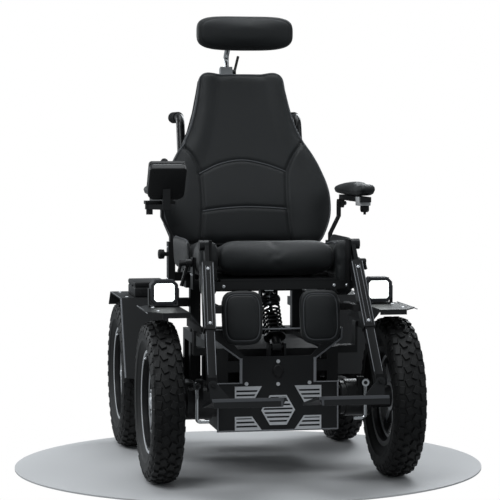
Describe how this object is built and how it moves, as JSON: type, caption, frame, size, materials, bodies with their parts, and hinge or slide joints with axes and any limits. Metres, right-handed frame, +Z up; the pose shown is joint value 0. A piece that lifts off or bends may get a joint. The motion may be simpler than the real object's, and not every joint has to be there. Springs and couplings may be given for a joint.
{
  "type": "power wheelchair",
  "caption": "All-terrain power wheelchair with captain's seat, headrest, flip-up armrests, joystick pod, elevating leg rests, folding footplates, sprung seat and pneumatic tyres on spoked rims.",
  "frame": {"origin": "on the floor, at the middle of the bounding box", "axes": "+Z up, the chair faces -Y, +X is the user's left"},
  "size_m": [0.728, 1.1949, 1.2719],
  "materials": {
    "frame_black": "satin powder coat",
    "panel_black": "satin powder coat",
    "silver_steel": "brushed",
    "chrome": "polished",
    "rim_alloy": "machined faces on black",
    "tyre_rubber": "matt",
    "leather_black": "fine grain, semi-matt",
    "moulded_black": "fine texture",
    "soft_rubber": "matt",
    "battery_case": "plain",
    "cast_alloy": "cast, clear-coated",
    "light_alloy": "black anodised"
  },
  "bodies": {
    "chassis": {"chassis_frame": "frame_black", "battery_box": "moulded_black", "batteries": "battery_case", "motor_controller": "cast_alloy", "front_panel": "panel_black", "front_grille": "silver_steel", "panel_screws": "silver_steel", "front_fenders": "panel_black", "rear_fenders": "panel_black", "rear_side_boxes": "moulded_black", "light_brackets": "frame_black", "light_housings": "light_alloy", "rear_gearmotors": "frame_black"},
    "front_arm_left": {"front_arm_left": "frame_black", "front_gearmotor_left": "frame_black"},
    "freewheel_lever_left": {"freewheel_lever_left": "chrome"},
    "wheel_front_left": {"tyre_front_left": "tyre_rubber", "rim_front_left": "rim_alloy"},
    "wheel_rear_left": {"tyre_rear_left": "tyre_rubber", "rim_rear_left": "rim_alloy"},
    "front_arm_right": {"front_arm_right": "frame_black", "front_gearmotor_right": "frame_black"},
    "freewheel_lever_right": {"freewheel_lever_right": "chrome"},
    "wheel_front_right": {"tyre_front_right": "tyre_rubber", "rim_front_right": "rim_alloy"},
    "wheel_rear_right": {"tyre_rear_right": "tyre_rubber", "rim_rear_right": "rim_alloy"},
    "seat": {"seat_frame": "frame_black", "seat_cushion": "leather_black"},
    "shock_lower": {"shock_body": "frame_black"},
    "shock_upper": {"shock_rod": "chrome", "shock_spring": "frame_black"},
    "back": {"back_frame": "frame_black", "back_shell": "moulded_black", "back_cushion": "leather_black", "push_grips": "soft_rubber", "headrest_clamp": "cast_alloy"},
    "headrest_lever": {"headrest_lever": "moulded_black"},
    "headrest_post": {"headrest_post": "chrome"},
    "headrest_pad": {"headrest_pad": "leather_black"},
    "arm_post_left": {"arm_post_left": "frame_black"},
    "armrest_left": {"arm_rail_left": "frame_black", "arm_pad_left": "leather_black"},
    "clamp_lever_left": {"clamp_lever_left": "moulded_black"},
    "leg_left": {"leg_hanger_left": "frame_black", "calf_pad_left": "leather_black"},
    "leg_slider_left": {"leg_slider_left": "frame_black"},
    "footplate_left": {"footplate_left": "panel_black"},
    "arm_post_right": {"arm_post_right": "frame_black"},
    "armrest_right": {"arm_rail_right": "frame_black", "arm_pad_right": "leather_black"},
    "clamp_lever_right": {"clamp_lever_right": "moulded_black"},
    "leg_right": {"leg_hanger_right": "frame_black", "calf_pad_right": "leather_black"},
    "leg_slider_right": {"leg_slider_right": "frame_black"},
    "footplate_right": {"footplate_right": "panel_black"},
    "controller": {"controller_arm": "silver_steel", "controller_pod": "moulded_black"},
    "joystick_gimbal": {"joystick_gimbal": "silver_steel"},
    "joystick": {"joystick": "soft_rubber"}
  },
  "joints": [
    {"name": "front_arm_swing_left", "type": "hinge", "parent": "chassis", "child": "front_arm_left", "pos_m": [0.176, -0.03, 0.216], "axis": [1, 0, 0], "range_deg": [-5, 5], "stiffness_Nm_per_rad": 1500},
    {"name": "freewheel_lever_turn_left", "type": "hinge", "parent": "front_arm_left", "child": "freewheel_lever_left", "pos_m": [0.228, -0.333, 0.262], "axis": [0, 1, 0], "range_deg": [0, 60]},
    {"name": "wheel_spin_front_left", "type": "hinge", "parent": "front_arm_left", "child": "wheel_front_left", "pos_m": [0.32, -0.275, 0.216], "axis": [1, 0, 0], "continuous": true},
    {"name": "wheel_spin_rear_left", "type": "hinge", "parent": "chassis", "child": "wheel_rear_left", "pos_m": [0.32, 0.375, 0.216], "axis": [1, 0, 0], "continuous": true},
    {"name": "front_arm_swing_right", "type": "hinge", "parent": "chassis", "child": "front_arm_right", "pos_m": [-0.176, -0.03, 0.216], "axis": [1, 0, 0], "range_deg": [-5, 5], "stiffness_Nm_per_rad": 1500},
    {"name": "freewheel_lever_turn_right", "type": "hinge", "parent": "front_arm_right", "child": "freewheel_lever_right", "pos_m": [-0.228, -0.333, 0.262], "axis": [0, -1, 0], "range_deg": [0, 60]},
    {"name": "wheel_spin_front_right", "type": "hinge", "parent": "front_arm_right", "child": "wheel_front_right", "pos_m": [-0.32, -0.275, 0.216], "axis": [1, 0, 0], "continuous": true},
    {"name": "wheel_spin_rear_right", "type": "hinge", "parent": "chassis", "child": "wheel_rear_right", "pos_m": [-0.32, 0.375, 0.216], "axis": [1, 0, 0], "continuous": true},
    {"name": "seat_bounce", "type": "hinge", "parent": "chassis", "child": "seat", "pos_m": [0, 0.2, 0.5], "axis": [1, 0, 0], "range_deg": [-1.5, 3], "stiffness_Nm_per_rad": 3000},
    {"name": "shock_turn", "type": "hinge", "parent": "chassis", "child": "shock_lower", "pos_m": [0, -0.256, 0.353], "axis": [1, 0, 0], "range_deg": [-4, 2.2]},
    {"name": "shock_stroke", "type": "slide", "parent": "shock_lower", "child": "shock_upper", "axis": [0, 0.6147, 0.7888], "range_m": [-0.016, 0.009], "deforming": ["shock_spring"]},
    {"name": "back_recline", "type": "hinge", "parent": "seat", "child": "back", "pos_m": [0, 0.2, 0.56], "axis": [-1, 0, 0], "range_deg": [-5, 25]},
    {"name": "headrest_lever_turn", "type": "hinge", "parent": "back", "child": "headrest_lever", "pos_m": [-0.008, 0.34988, 1.10787], "axis": [1, 0, 0], "range_deg": [-30, 60]},
    {"name": "headrest_height", "type": "slide", "parent": "back", "child": "headrest_post", "axis": [0, 0.2639, 0.9646], "range_m": [0, 0.06]},
    {"name": "headrest_tilt", "type": "hinge", "parent": "headrest_post", "child": "headrest_pad", "pos_m": [-0.03, 0.284, 1.2195], "axis": [1, 0, 0], "range_deg": [-15, 15]},
    {"name": "arm_height_left", "type": "slide", "parent": "seat", "child": "arm_post_left", "axis": [0, 0, 1], "range_m": [0, 0.06]},
    {"name": "arm_flip_left", "type": "hinge", "parent": "arm_post_left", "child": "armrest_left", "pos_m": [0.257, 0.112, 0.727], "axis": [-1, 0, 0], "range_deg": [0, 95]},
    {"name": "clamp_lever_turn_left", "type": "hinge", "parent": "seat", "child": "clamp_lever_left", "pos_m": [0.23, -0.215, 0.58], "axis": [1, 0, 0], "range_deg": [-40, 40]},
    {"name": "leg_elevate_left", "type": "hinge", "parent": "seat", "child": "leg_left", "pos_m": [0.198, -0.303, 0.632], "axis": [-1, 0, 0], "range_deg": [0, 50]},
    {"name": "leg_length_left", "type": "slide", "parent": "leg_left", "child": "leg_slider_left", "axis": [0.0512, -0.5341, -0.8439], "range_m": [0, 0.06]},
    {"name": "footplate_flip_left", "type": "hinge", "parent": "leg_slider_left", "child": "footplate_left", "pos_m": [0.219, -0.522, 0.286], "axis": [0, 0.9781, -0.2079], "range_deg": [0, 85]},
    {"name": "arm_height_right", "type": "slide", "parent": "seat", "child": "arm_post_right", "axis": [0, 0, 1], "range_m": [0, 0.06]},
    {"name": "arm_flip_right", "type": "hinge", "parent": "arm_post_right", "child": "armrest_right", "pos_m": [-0.257, 0.112, 0.727], "axis": [-1, 0, 0], "range_deg": [0, 95]},
    {"name": "clamp_lever_turn_right", "type": "hinge", "parent": "seat", "child": "clamp_lever_right", "pos_m": [-0.23, -0.215, 0.58], "axis": [1, 0, 0], "range_deg": [-40, 40]},
    {"name": "leg_elevate_right", "type": "hinge", "parent": "seat", "child": "leg_right", "pos_m": [-0.198, -0.303, 0.632], "axis": [-1, 0, 0], "range_deg": [0, 50]},
    {"name": "leg_length_right", "type": "slide", "parent": "leg_right", "child": "leg_slider_right", "axis": [-0.0512, -0.5341, -0.8439], "range_m": [0, 0.06]},
    {"name": "footplate_flip_right", "type": "hinge", "parent": "leg_slider_right", "child": "footplate_right", "pos_m": [-0.219, -0.522, 0.286], "axis": [0, -0.9781, 0.2079], "range_deg": [0, 85]},
    {"name": "controller_swing", "type": "hinge", "parent": "armrest_right", "child": "controller", "pos_m": [-0.33, -0.165, 0.73], "axis": [0, 0, -1], "range_deg": [0, 90]},
    {"name": "joystick_pitch", "type": "hinge", "parent": "controller", "child": "joystick_gimbal", "pos_m": [-0.291, -0.21468, 0.8242], "axis": [1, 0, 0], "range_deg": [-14, 14], "stiffness_Nm_per_rad": 0.08},
    {"name": "joystick_roll", "type": "hinge", "parent": "joystick_gimbal", "child": "joystick", "pos_m": [-0.291, -0.21468, 0.8242], "axis": [0, 0.5736, -0.8192], "range_deg": [-14, 14], "stiffness_Nm_per_rad": 0.08}
  ],
  "couplings": [
    {"joint": "shock_turn", "follows": "seat_bounce", "ratio": -1.22},
    {"joint": "shock_stroke", "follows": "seat_bounce", "m_per_rad": -0.263}
  ]
}
